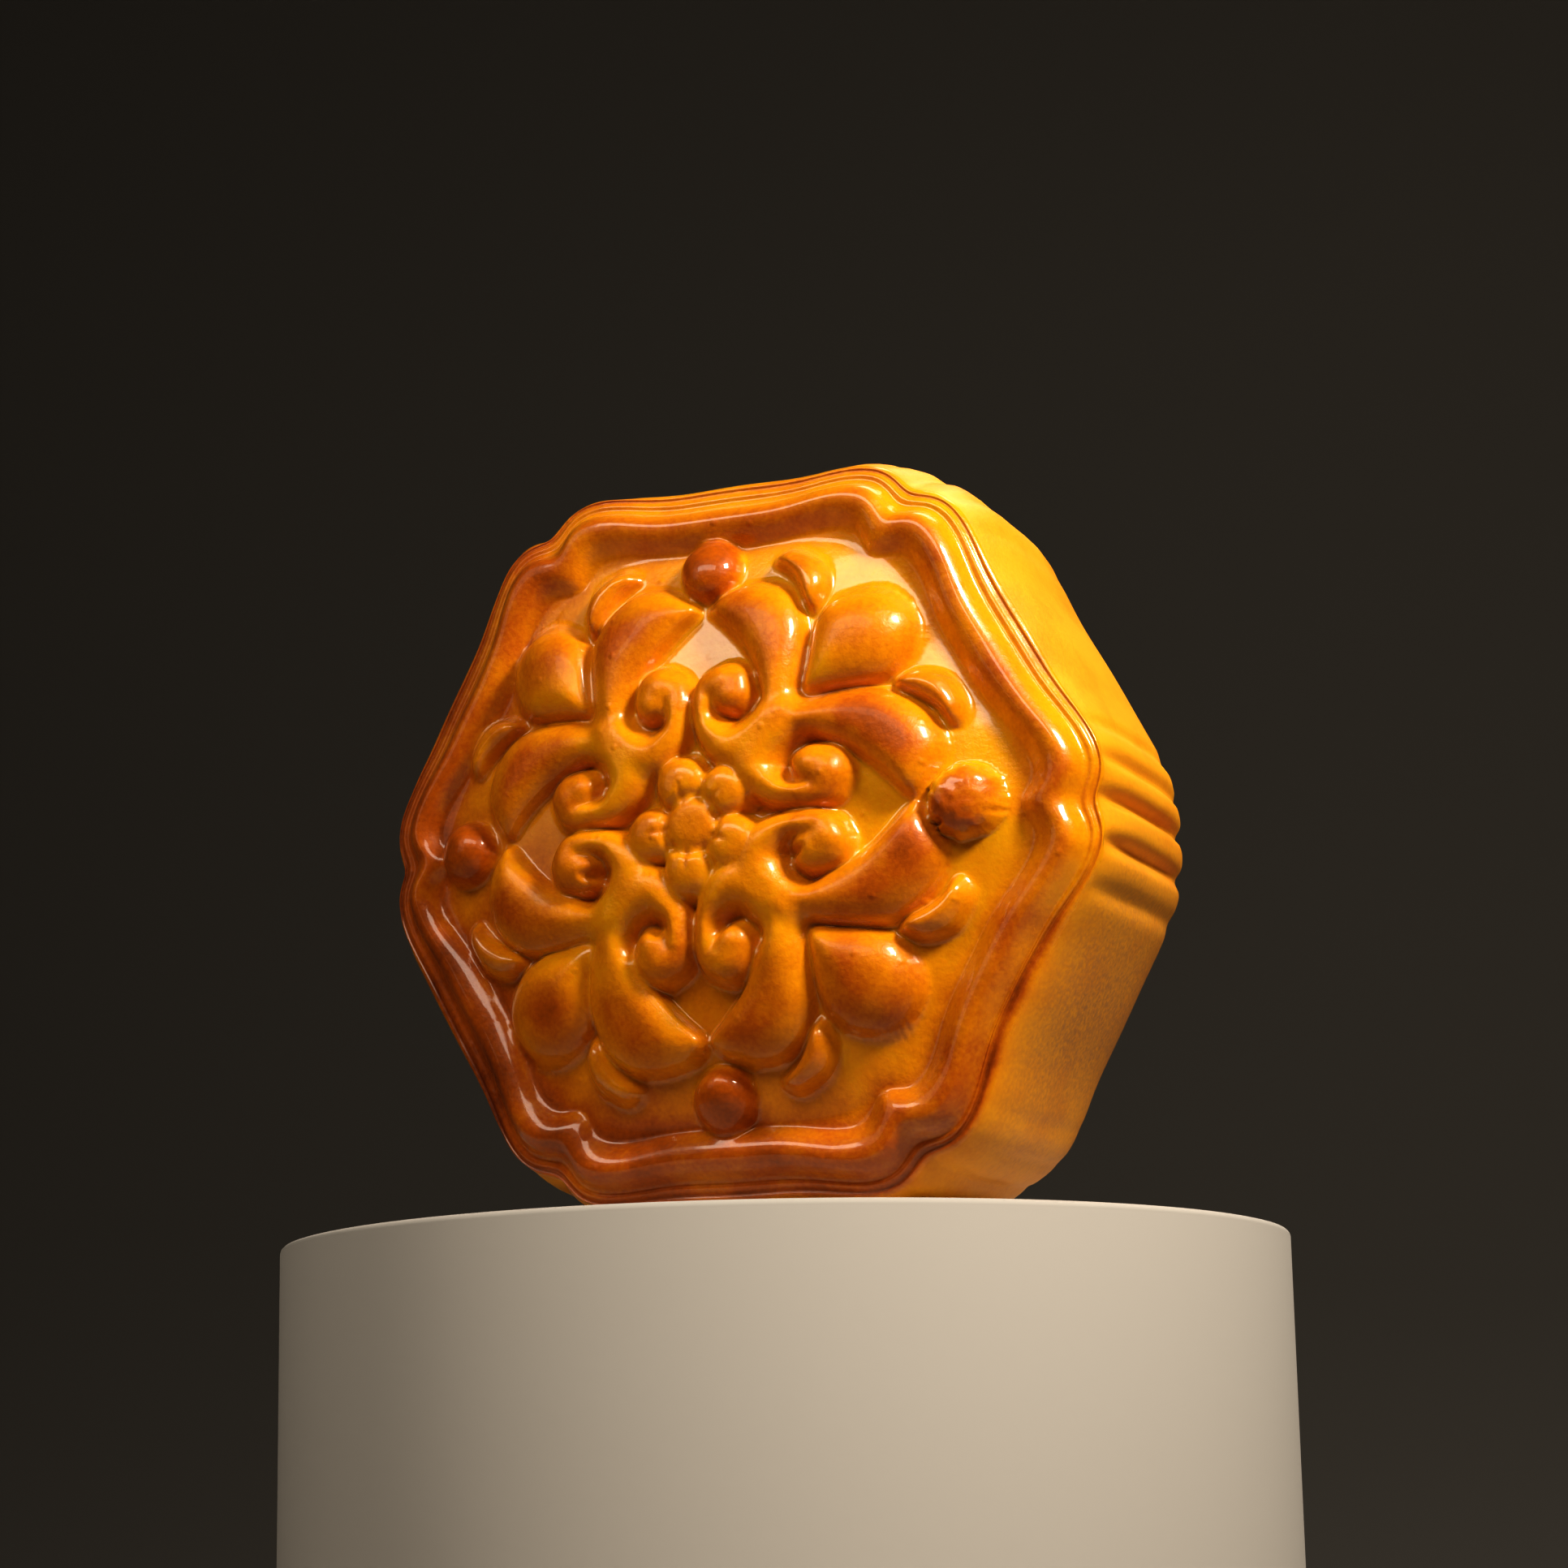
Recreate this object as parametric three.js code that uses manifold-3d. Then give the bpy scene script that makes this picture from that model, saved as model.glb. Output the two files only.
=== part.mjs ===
// A pressed mooncake, standing on one of its six flats with the patterned face toward -Y.
// Millimetres, +Z up. The origin is at the middle of the footprint, where the cake stands.
//
// Shapes on the face are laid out in face coordinates: u to the right, v up, and h the height
// toward the viewer, with h = 0 on the plane of the rim's crest.

import * as THREE from 'three';
import { mergeVertices } from 'three/addons/utils/BufferGeometryUtils.js';
import Module from 'manifold-3d';

// ---- Driving dimensions ----

const THICKNESS = 31.3;          // from the rim's crest to the flat back
const REST_FLAT = 37.4;          // from the face's middle to the flat that the cake stands on

// ---- Mesh density ----

const COLUMNS = 90;              // points round every outline of the body
const GROUND_SCALES = [0.15, 0.5, 0.8];  // the ground's inner rings, as shares of its edge
const ROUND_COLUMNS = 14;        // points round a pearl, a curl's end or a flower petal
const PETAL_COLUMNS = 21;        // points round a corner petal
const PILLOW_TURNS = [30, 58, 80];  // degrees up a rounded form where it has a ring
const CAP_TURN = 60;             // degrees of the half round that closes each end of a scroll
const ARM = { steps: 8, arcPoints: 7 };
const CURL = { steps: 6, arcPoints: 7 };
const BUD = { steps: 5, arcPoints: 5 };
const WELD = 1e-4;               // points closer than this are one
const MERGE = 0.03;              // triangles flatter than this are joined

// ---- Outline ----

const LOBE_HALF_ANGLE = 5;       // degrees from a corner to where its lobe starts to fall
const LOBE_FALL = 11.5;          // degrees over which the lobe falls to the side's middle
const NOTCH_HALF_ANGLE = 3.2;    // degrees, the notch that splits each corner in two lobes

// The cake was pressed by hand, so its corners differ:
// [angle in degrees, extra reach of the rim, extra reach of the side wall].
const CORNERS = [
  [0, 0.0, -0.3],
  [59, 0.3, 1.4],
  [121, 0.7, 0.9],
  [180, -1.0, -0.8],
  [239, 0.0, 0.0],
  [301, 0.5, 1.2],
];

// ---- Heights and sections ----

const GROUND_RISE = 4.9;         // how far the sunk ground domes up in the middle
const GROUND_RIM = -1.3;         // the ground's height at the foot of the rim
const GROUND_RADIUS = 29.6;

// One row for each ring of the body, from the ground's edge over the rim and down the side:
// [radius at the middle of a side, extra radius at a lobe, depth of the notch, height h,
//  share of the corners' reach at the rim, share of their reach at the wall].
const BODY_RINGS = [
  [29.6, 3.4, 1.7, GROUND_RIM, 0.0, 0.0],
  [30.4, 3.5, 1.7, -0.7, 0.2, 0.0],
  [31.4, 3.6, 1.6, -0.2, 0.5, 0.0],
  [32.8, 3.6, 1.5, 0.0, 0.8, 0.0],
  [33.8, 3.6, 1.3, -0.3, 1.0, 0.0],
  [34.5, 3.5, 1.2, -0.95, 1.0, 0.0],
  [35.5, 3.5, 1.0, -1.95, 1.0, 0.0],
  [35.8, 3.4, 0.9, -2.1, 1.0, 0.0],
  [36.1, 3.3, 0.9, -1.9, 1.0, 0.0],
  [36.5, 3.2, 0.9, -2.4, 0.8, 0.2],
  [37.2, 3.0, 1.1, -4.5, 0.6, 0.4],
  [37.8, 2.8, 1.2, -10.0, 0.0, 1.0],
  [38.0, 2.6, 1.1, -16.0, 0.0, 1.0],
  [37.8, 2.5, 0.9, -23.0, 0.0, 1.0],
  [36.7, 2.4, 0.7, -28.4, 0.0, 0.9],
  [34.9, 2.2, 0.5, -30.8, 0.0, 0.8],
  [32.6, 2.0, 0.3, -THICKNESS, 0.0, 0.6],
];

// ---- Raised pattern ----

const RELIEF = 2.6;              // height of the scrolls above the ground
const BURIED = 1.2;              // how far each raised shape reaches below the ground

// Ribbons are [u, v, half width] along the middle line, in the first quarter of the face.
const ARM_LINE = [
  [6.9, 8.6, 2.9],
  [8.6, 12.4, 2.2],
  [9.0, 16.2, 3.0],
  [7.7, 19.8, 3.5],
  [5.1, 22.1, 3.2],
  [2.6, 22.7, 2.1],
  [0.8, 22.1, 0.8],
];
const ARM_LEAN = 0.35;           // how much steeper the outer side of an arm is
const CURL_LINE = [
  [6.6, 6.9, 2.4],
  [3.4, 7.2, 2.2],
  [1.5, 9.4, 1.8],
  [1.5, 12.2, 1.9],
  [3.2, 14.5, 1.9],
];
const CURL_END = { u: 4.2, v: 13.6, radius: 2.85 };
const BUD_LINE = [
  [8.6, 26.4, 0.9],
  [10.3, 26.8, 1.5],
  [12.1, 25.5, 1.7],
  [13.0, 23.0, 1.5],
  [12.7, 20.8, 0.9],
];
const BUD_RELIEF = 2.1;

const PETAL_RELIEF = 3.4;
// Half of a corner petal's outline, from its point on the diagonal to its round end.
const PETAL_HALF = [
  [11.3, 11.3],
  [11.6, 15.0],
  [12.1, 18.9],
  [14.7, 22.0],
  [18.5, 23.0],
  [21.8, 21.8],
];

const PEARL = { radius: 3.4, relief: 3.1, distance: 27.5 };
const FLOWER = { u: 0.2, v: -0.2, petals: 5, distance: 4.6, first: 43 };
const FLOWER_EYE = { radius: 2.6, relief: 2.8, flatTop: 0.45 };
const FLOWER_PETAL = { radius: 2.55, relief: 2.4 };
const PATTERN_SHIFT = { u: -0.4, v: 0.45 };  // from the middle of the rim to the pattern's

const CUTTING_BOX = 200;         // larger than the whole cake

// ---- Small helpers ----

const wasm = await Module();
wasm.setup();

const radians = THREE.MathUtils.degToRad;

function groundHeight(u, v) {
  const across = Math.hypot(u, v) / GROUND_RADIUS;
  return GROUND_RIM + GROUND_RISE * Math.max(0, 1 - across * across);
}

// Joins rings of equal length into one closed solid, with a fan at both ends.
function loft(rings) {
  const count = rings[0].length;
  const points = rings.flat();
  const index = [];
  for (let ring = 0; ring + 1 < rings.length; ring += 1) {
    for (let i = 0; i < count; i += 1) {
      const a = ring * count + i;
      const b = ring * count + (i + 1) % count;
      index.push(a, b, b + count, a, b + count, a + count);
    }
  }
  const last = (rings.length - 1) * count;
  for (let i = 0; i < count; i += 1) {
    const next = (i + 1) % count;
    index.push(points.length, next, i);
    index.push(points.length + 1, last + i, last + next);
  }
  points.push(middle(rings[0]), middle(rings.at(-1)));

  const geometry = new THREE.BufferGeometry().setFromPoints(points);
  geometry.setIndex(index);
  return geometry;
}

function middle(ring) {
  const sum = ring.reduce((total, point) => total.add(point), new THREE.Vector3());
  return sum.divideScalar(ring.length);
}

function signedVolume(geometry) {
  const { index, attributes: { position } } = geometry;
  const [a, b, c] = [0, 1, 2].map(() => new THREE.Vector3());
  let volume = 0;
  for (let i = 0; i < index.count; i += 3) {
    a.fromBufferAttribute(position, index.getX(i));
    b.fromBufferAttribute(position, index.getX(i + 1));
    c.fromBufferAttribute(position, index.getX(i + 2));
    volume += a.dot(b.cross(c)) / 6;
  }
  return volume;
}

// A manifold of a closed geometry, whichever way its triangles were wound.
function solid(geometry) {
  for (const name of ['normal', 'uv']) {
    geometry.deleteAttribute(name);
  }
  const merged = mergeVertices(geometry, WELD);
  const triVerts = new Uint32Array(merged.index.array);
  if (signedVolume(merged) < 0) {
    triVerts.reverse();
  }
  const vertProperties = new Float32Array(merged.attributes.position.array);
  return new wasm.Manifold(new wasm.Mesh({ numProp: 3, vertProperties, triVerts }));
}

// Face coordinates to the frame's axes, before the part is set down on its flat.
function facePoint(u, v, h) {
  return new THREE.Vector3(u, -h, v);
}

// ---- The body ----

// Distance from the middle of the face to an outline, at an angle in degrees.
function outlineRadius(angle, [side, lobe, notch, , rimShare, wallShare]) {
  return CORNERS.reduce((radius, [corner, rimReach, wallReach]) => {
    const turn = Math.abs(angle - corner);
    const fromCorner = Math.min(turn, 360 - turn);
    const fall = Math.max(0, fromCorner - LOBE_HALF_ANGLE) / LOBE_FALL;
    const split = fromCorner / NOTCH_HALF_ANGLE;
    const reach = lobe + rimReach * rimShare + wallReach * wallShare;
    return radius + reach * Math.exp(-fall * fall) - notch * Math.exp(-split * split);
  }, side);
}

function outlineRing(row, scale, heightAt) {
  const ring = [];
  for (let i = 0; i < COLUMNS; i += 1) {
    const angle = 360 * i / COLUMNS;
    const radius = outlineRadius(angle, row) * scale;
    const u = radius * Math.cos(radians(angle));
    const v = radius * Math.sin(radians(angle));
    ring.push(facePoint(u, v, heightAt(u, v)));
  }
  return ring;
}

function body() {
  const [groundEdge] = BODY_RINGS;
  const ground = GROUND_SCALES.map((scale) => outlineRing(groundEdge, scale, groundHeight));
  const rimAndSide = BODY_RINGS.map((row) => outlineRing(row, 1, () => row[3]));
  return solid(loft([...ground, ...rimAndSide]));
}

// ---- Raised shapes ----

// A rounded ridge along a middle line, on the domed ground. With a lean, the side to the right
// of the line's direction is steeper than the left, or the other way round where it is negative.
function ribbon(stations, relief, { steps, arcPoints }, lean = 0) {
  const line = new THREE.CatmullRomCurve3(
    stations.map(([u, v, width]) => new THREE.Vector3(u, v, width)),
  );
  const rings = [];
  const addRing = (at, tangent, scale) => {
    const width = at.z * scale;
    const across = new THREE.Vector2(tangent.y, -tangent.x).normalize();
    const ring = [];
    for (let i = 0; i < arcPoints; i += 1) {
      const turn = Math.PI * i / (arcPoints - 1);
      const u = at.x + across.x * width * Math.cos(turn);
      const v = at.y + across.y * width * Math.cos(turn);
      const tilted = (1 + lean * Math.cos(turn)) / (1 + Math.abs(lean) / 2);
      const rise = relief * scale * Math.min(1, at.z / 2) * tilted * Math.sin(turn);
      ring.push(facePoint(u, v, groundHeight(u, v) + rise));
    }
    for (const side of [-1, 1]) {
      const u = at.x + side * across.x * width;
      const v = at.y + side * across.y * width;
      ring.push(facePoint(u, v, groundHeight(u, v) - BURIED));
    }
    rings.push(ring);
  };

  const addCap = (t, sign) => {
    const tangent = line.getTangent(t);
    const outward = new THREE.Vector3(tangent.x, tangent.y, 0).normalize();
    const end = line.getPoint(t);
    end.addScaledVector(outward, sign * end.z * Math.sin(radians(CAP_TURN)));
    addRing(end, tangent, Math.cos(radians(CAP_TURN)));
  };

  addCap(0, -1);
  for (let i = 0; i <= steps; i += 1) {
    const t = i / steps;
    addRing(line.getPoint(t), line.getTangent(t), 1);
  }
  addCap(1, 1);
  return loft(rings);
}

// A pillow over a closed outline, given as a list of [u, v], on the domed ground.
function pillow(outline, relief, flatTop = 0) {
  const centre = outline.reduce(([a, b], [u, v]) => [a + u, b + v], [0, 0])
    .map((sum) => sum / outline.length);
  const ringAt = (scale, rise) => outline.map(([u, v]) => {
    const pu = centre[0] + (u - centre[0]) * scale;
    const pv = centre[1] + (v - centre[1]) * scale;
    return facePoint(pu, pv, groundHeight(pu, pv) + rise);
  });
  const rings = [ringAt(1, -BURIED), ringAt(1, 0)];
  for (const turn of PILLOW_TURNS) {
    const scale = flatTop + (1 - flatTop) * Math.cos(radians(turn));
    rings.push(ringAt(scale, relief * Math.sin(radians(turn))));
  }
  return loft(rings);
}

function circle(u, v, radius) {
  return Array.from({ length: ROUND_COLUMNS }, (_, i) => {
    const angle = 2 * Math.PI * i / ROUND_COLUMNS;
    return [u + radius * Math.cos(angle), v + radius * Math.sin(angle)];
  });
}

function cornerPetal() {
  const mirrored = PETAL_HALF.slice(1, -1).reverse().map(([u, v]) => [v, u]);
  const corners = [...PETAL_HALF, ...mirrored];
  const curve = new THREE.CatmullRomCurve3(corners.map(([u, v]) => new THREE.Vector3(u, v)), true);
  const outline = curve.getPoints(PETAL_COLUMNS).slice(0, -1).map(({ x, y }) => [x, y]);
  return pillow(outline, PETAL_RELIEF);
}

// One quarter of the scroll pattern: a mirrored pair of scrolls and buds with a petal between.
function quarterPattern() {
  const swap = (stations) => stations.map(([u, v, width]) => [v, u, width]);
  const { u, v, radius } = CURL_END;
  return [
    cornerPetal(),
    ribbon(ARM_LINE, RELIEF, ARM, ARM_LEAN),
    ribbon(swap(ARM_LINE), RELIEF, ARM, -ARM_LEAN),
    ribbon(CURL_LINE, RELIEF, CURL),
    ribbon(swap(CURL_LINE), RELIEF, CURL),
    pillow(circle(u, v, radius), RELIEF),
    pillow(circle(v, u, radius), RELIEF),
    ribbon(BUD_LINE, BUD_RELIEF, BUD),
    ribbon(swap(BUD_LINE), BUD_RELIEF, BUD),
  ];
}

function flower() {
  const eye = circle(FLOWER.u, FLOWER.v, FLOWER_EYE.radius);
  const shapes = [pillow(eye, FLOWER_EYE.relief, FLOWER_EYE.flatTop)];
  for (let i = 0; i < FLOWER.petals; i += 1) {
    const angle = radians(FLOWER.first + 360 * i / FLOWER.petals);
    const u = FLOWER.u + FLOWER.distance * Math.cos(angle);
    const v = FLOWER.v + FLOWER.distance * Math.sin(angle);
    shapes.push(pillow(circle(u, v, FLOWER_PETAL.radius), FLOWER_PETAL.relief));
  }
  return shapes;
}

// ---- Putting it together ----

// The quarter's shapes and one pearl, turned to all four quarters, and the flower.
function raisedShapes() {
  const pearl = pillow(circle(0, PEARL.distance, PEARL.radius), PEARL.relief);
  const quarter = [...quarterPattern(), pearl];
  const shapes = flower();
  for (let turn = 0; turn < 4; turn += 1) {
    shapes.push(...quarter.map((geometry) => geometry.clone().rotateY(turn * Math.PI / 2)));
  }
  return shapes.map((shape) => solid(shape.translate(PATTERN_SHIFT.u, 0, PATTERN_SHIFT.v)));
}

// Everything above the flat that the cake stands on.
function aboveRest() {
  const box = new THREE.BoxGeometry(CUTTING_BOX, CUTTING_BOX, CUTTING_BOX);
  box.translate(0, 0, CUTTING_BOX / 2 - REST_FLAT);
  return solid(box);
}

// The solid with fewer triangles, without the slivers that joining them can split off.
function simplified(shape) {
  const pieces = shape.simplify(MERGE).decompose();
  return pieces.sort((a, b) => b.volume() - a.volume())[0];
}

function mooncake() {
  const whole = raisedShapes().reduce((cake, shape) => cake.add(shape), body());
  const { vertProperties, triVerts } = simplified(whole.intersect(aboveRest())).getMesh();
  const geometry = new THREE.BufferGeometry();
  geometry.setAttribute('position', new THREE.BufferAttribute(vertProperties, 3));
  geometry.setIndex(new THREE.BufferAttribute(triVerts, 1));
  geometry.computeBoundingBox();
  const { min, max } = geometry.boundingBox;
  geometry.translate(-(min.x + max.x) / 2, -(min.y + max.y) / 2, -min.z);
  geometry.computeVertexNormals();

  const crust = new THREE.MeshStandardMaterial({ color: '#b5651d', roughness: 0.35, metalness: 0 });
  const mesh = new THREE.Mesh(geometry, crust);
  mesh.name = 'mooncake';
  return mesh;
}

const part = new THREE.Group();
part.add(mooncake());
export default part;
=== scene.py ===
"""Looks of a pressed mooncake that stands on edge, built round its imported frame.

Millimetres are used for every size here, and turned to metres where a mesh is made. Face
coordinates are u to the right, v up and h toward the viewer, with h = 0 on the rim's crest.
"""

import math

import bmesh
import bpy
import numpy as np
from bpy.props import FloatProperty, FloatVectorProperty, IntProperty, PointerProperty
from mathutils import Euler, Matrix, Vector


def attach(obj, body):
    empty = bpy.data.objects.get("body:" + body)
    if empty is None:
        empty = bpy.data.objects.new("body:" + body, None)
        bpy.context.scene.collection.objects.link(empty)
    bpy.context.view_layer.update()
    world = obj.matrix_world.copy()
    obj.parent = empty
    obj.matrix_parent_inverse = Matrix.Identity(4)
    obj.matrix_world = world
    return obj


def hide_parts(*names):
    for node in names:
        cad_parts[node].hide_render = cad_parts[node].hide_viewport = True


bl_info = {
    "name": "Mooncake looks",
    "version": (1, 0, 0),
    "blender": (4, 5, 0),
    "location": "3D View > Sidebar > Mooncake",
    "description": "Builds the baked crust, its finish and a small studio for a pressed mooncake",
    "category": "Object",
}

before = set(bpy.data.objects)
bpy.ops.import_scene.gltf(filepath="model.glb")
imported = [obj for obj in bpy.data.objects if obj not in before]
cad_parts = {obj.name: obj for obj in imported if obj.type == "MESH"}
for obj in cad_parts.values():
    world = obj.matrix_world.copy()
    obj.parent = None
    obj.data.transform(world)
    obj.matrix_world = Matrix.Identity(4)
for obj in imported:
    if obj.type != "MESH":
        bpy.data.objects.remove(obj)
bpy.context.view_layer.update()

MM = 0.001
SEED = 8

# From face coordinates to the frame: x = u - FACE_X, y = FACE_Y - h, z = v + FACE_Z.
FACE_X = 0.249
FACE_Y = -12.475
FACE_Z = 37.4


# ---- Outline and section of the body ----

LOBE_HALF_ANGLE = 5.0     # degrees from a corner to where its lobe starts to fall
LOBE_FALL = 11.5          # degrees over which the lobe falls to the side's middle
NOTCH_HALF_ANGLE = 3.2    # degrees, the notch that splits each corner in two lobes

# The cake was pressed by hand: [angle in degrees, extra reach of the rim, and of the wall, share
# of the flutes' depth].
CORNERS = [
    (0, 0.0, -0.35, 1.0),
    (59, 0.3, 1.4, 0.25),
    (121, 0.7, 0.9, 0.9),
    (180, -1.0, -0.85, 1.0),
    (239, 0.0, 0.0, 0.8),
    (301, 0.5, 1.1, 0.3),
]

# Flutes that run down the wall at each corner: [degrees from the corner, depth, half width].
FLUTES = [
    (12.0, 0.45, 1.3), (6.4, 0.9, 1.25), (0.8, 1.5, 1.25), (-5.8, 1.5, 1.4), (-12.5, 0.6, 1.6),
]

# Rings from the ground's edge over the rim and down the side: [radius at a side's middle, extra
# radius at a lobe, depth of the notch, height, share of the corners' reach at the rim, share at
# the wall, share of the flutes, browning].
RINGS = [
    (29.4, 3.4, 1.7, -1.30, 0.0, 0.0, 0.0, 0.30),
    (29.9, 3.5, 1.7, -1.00, 0.2, 0.0, 0.0, 0.36),
    (30.6, 3.6, 1.7, -0.42, 0.4, 0.0, 0.0, 0.40),
    (31.5, 3.6, 1.6, -0.05, 0.6, 0.0, 0.0, 0.47),
    (32.2, 3.6, 1.5, 0.00, 0.8, 0.0, 0.0, 0.48),
    (32.65, 3.6, 1.4, -0.12, 1.0, 0.0, 0.0, 0.46),
    (33.0, 3.6, 1.4, -0.36, 1.0, 0.0, 0.0, 0.4),
    (33.3, 3.6, 1.3, -0.66, 1.0, 0.0, 0.0, 0.26),
    (33.6, 3.6, 1.3, -1.03, 1.0, 0.0, 0.0, 0.16),
    (34.1, 3.5, 1.2, -1.88, 1.0, 0.0, 0.0, 0.12),
    (34.4, 3.5, 1.1, -2.24, 1.0, 0.0, 0.0, 0.14),
    (34.7, 3.5, 1.1, -2.33, 1.0, 0.0, 0.0, 0.18),
    (34.98, 3.5, 1.0, -2.28, 1.0, 0.0, 0.0, 0.20),
    (35.25, 3.5, 1.0, -2.38, 1.0, 0.0, 0.0, 0.20),
    (35.5, 3.4, 1.0, -2.58, 1.0, 0.0, 0.0, 0.24),
    (35.7, 3.4, 0.9, -2.80, 1.0, 0.0, 0.0, 0.34),
    (35.87, 3.4, 0.9, -2.79, 1.0, 0.0, 0.0, 0.36),
    (36.05, 3.3, 0.9, -2.72, 0.95, 0.05, 0.0, 0.24),
    (36.3, 3.2, 0.8, -2.92, 0.9, 0.1, 0.1, 0.16),
    (36.6, 3.1, 0.7, -3.55, 0.7, 0.3, 0.3, 0.12),
    (37.15, 3.0, 0.4, -5.60, 0.5, 0.5, 0.7, 0.08),
    (37.75, 2.8, 0.0, -10.0, 0.0, 0.9, 1.0, 0.05),
    (37.9, 2.6, 0.0, -16.0, 0.0, 0.9, 1.0, 0.05),
    (37.7, 2.5, 0.0, -23.0, 0.0, 0.9, 0.9, 0.07),
    (36.7, 2.4, 0.0, -28.4, 0.0, 0.9, 0.5, 0.16),
    (34.9, 2.2, 0.0, -30.8, 0.0, 0.8, 0.2, 0.22),
    (32.6, 2.0, 0.0, -31.3, 0.0, 0.6, 0.0, 0.24),
]
# Places in RINGS, counted in rows from 0.
FRONT_ROWS = 8            # the pattern may reach the rows before this one
SLOPE_ROW = 5             # the rim's outer slope starts here
GROOVE_ROW = 15           # the groove between the rim and its lip
LAST_FACE_ROW = 18.6      # rows up to here carry the egg wash

# The sunk ground is a low dome, and its edge lies further out toward the corners.
GROUND_RISE = 4.9
GROUND_RIM = -1.3         # its height at the rim's foot
GROUND_RADIUS = 29.4
GROUND_MARGIN = 1.0       # how far outside that radius the dome would end
GROUND_LOBE = 1.3         # how much further it would at a corner, and less between two
FOOT_START = 0.93         # share of the ground's radius where the rim's foot starts to brown


# ---- Raised pattern, in the first quarter of the face ----

PATTERN_SHIFT = (-1.1, 0.7)  # the mould's pattern sits a little off the face's middle

# An arm's outline is closed and starts at the scroll's root. Some arms end broad and blunt.
ARM = [
    (6.9, 8.6), (6.9, 11.6), (6.5, 13.9), (5.6, 16.1), (4.3, 18.0), (2.7, 19.8), (1.1, 21.3),
    (0.7, 21.9), (1.2, 22.5), (2.8, 23.5), (5.4, 24.2), (8.1, 23.7), (10.2, 22.1), (11.4, 19.6),
    (11.6, 17.0), (11.4, 14.0), (11.1, 11.3), (10.6, 8.6), (8.6, 7.4),
]
BLUNT_ARM = [
    (6.9, 8.6), (7.0, 11.6), (6.6, 14.0), (5.4, 16.4), (4.1, 18.3), (2.6, 20.0), (0.9, 21.6),
    (0.1, 22.7), (0.6, 23.3), (2.1, 24.2), (3.8, 25.0), (5.4, 25.4), (7.3, 25.0), (9.4, 23.6),
    (11.1, 21.2), (11.8, 18.6), (11.7, 15.4), (11.2, 12.2), (10.6, 8.6), (8.6, 7.4),
]
# One half of a petal's outline, up to the quarter's diagonal.
PETAL = [
    (11.5, 11.5), (11.8, 15.0), (12.3, 18.4), (13.6, 20.9), (16.2, 22.3), (18.9, 22.3), (21.0, 21.0),
]

# Strokes are [u, v, half width] along the middle line. The hub and the two roots join a corner's
# arms in one plate. A tube and a ball make a curl, and a hollow parts it from the plate.
HUB = [(6.6, 6.6, 2.6), (8.3, 8.3, 3.2), (9.6, 9.6, 2.4)]
ROOT = [(7.3, 7.6, 3.3), (4.6, 7.0, 2.8), (2.7, 8.4, 2.3), (1.8, 10.2, 1.9), (1.8, 12.0, 1.9)]
TUBE = [(1.6, 10.4, 1.5), (1.4, 11.8, 1.6), (2.1, 13.4, 1.9), (3.3, 13.9, 2.0)]
BALL = [(4.3, 12.2, 2.5), (3.8, 13.3, 2.8)]
HOLLOW = [(3.5, 10.0, 0.0), (4.6, 9.8, 0.3), (5.7, 10.2, 0.3), (6.5, 11.2, 0.0), (6.8, 12.2, -0.7)]
# A bud's closed outline, beside the arm's tip.
BUD = [
    (12.3, 20.2), (13.4, 21.6), (13.7, 23.5), (12.9, 25.6), (11.4, 26.8), (9.4, 27.6), (7.7, 27.0),
    (7.2, 26.1), (8.2, 25.4), (9.4, 24.3), (10.3, 22.8), (11.1, 21.2),
]

# Circles that hold the quarter's forms: [middle, radius].
SCROLL_CIRCLE = ((10.5, 10.5), 20)
BUD_CIRCLE = ((11, 24), 6.5)
PETAL_CIRCLE = ((16.5, 16.5), 11)

# The mould was packed by hand, so the arms differ. Each corner's two have [extra width, blunt, the
# curl's shift, the notch where the curl turns in, how much browner they are, less at the lower left
# corner, where they are painted lighter].
ARM_COPIES = [
    [(0.15, False, (-0.1, -0.1), (2.8, 10.1), 0.0), (0.15, True, (-0.2, 0.8), (2.6, 10.3), 0.08)],
    [(0.3, False, (-0.2, 0.2), (3.6, 9.8), 0.0), (0.5, False, (-0.2, 0.0), (3.9, 9.9), 0.02)],
    [(0.8, False, (0.1, 0.7), (3.9, 10.1), -0.05), (0.4, False, (0.0, 0.2), (4.9, 10.9), -0.05)],
    [(0.2, True, (0.1, 0.8), (4.4, 10.6), 0.05), (0.4, False, (-0.2, 0.8), (2.6, 10.9), 0.03)],
]
PETAL_SHADES = (0.02, 0.02, 0.1, 0.14)  # painted shade of each corner's petal, most on the lower two
PETAL_SWELLS = (0.1, 0.1, 0.3, 0.1)     # how far each swelled past its outline

PEARL_RADIUS = 3.35
PEARL_RISE = 3.3
PEARLS = [(-0.6, 26.9), (-28.3, 0.3), (0.0, -26.9)]
CRACKED_MIDDLE = (26.4, 0.4)
CRACKED_RADIUS = 3.65
# [angle in degrees, share of the radius where the fissure starts, half width]
FISSURES = [
    (221, 0.70, 0.26), (184, 0.84, 0.2), (343, 0.80, 0.22), (297, 0.80, 0.22), (262, 0.88, 0.2),
]
FLOWER_MIDDLE = (-0.65, -0.2)
FLOWER_EYE = 2.95         # radius of the flower's round eye
EYE_RISE = 2.75
FLOWER_RISE = 2.95
# [distance from the flower's eye, angle in degrees, radius]
FLOWER_PETALS = [
    (4.45, 106.0, 3.05),
    (4.7, 43.0, 2.9),
    (4.7, -26.6, 3.0),
    (4.45, -97.0, 2.95),
    (4.5, -173.0, 3.0),
]

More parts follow.
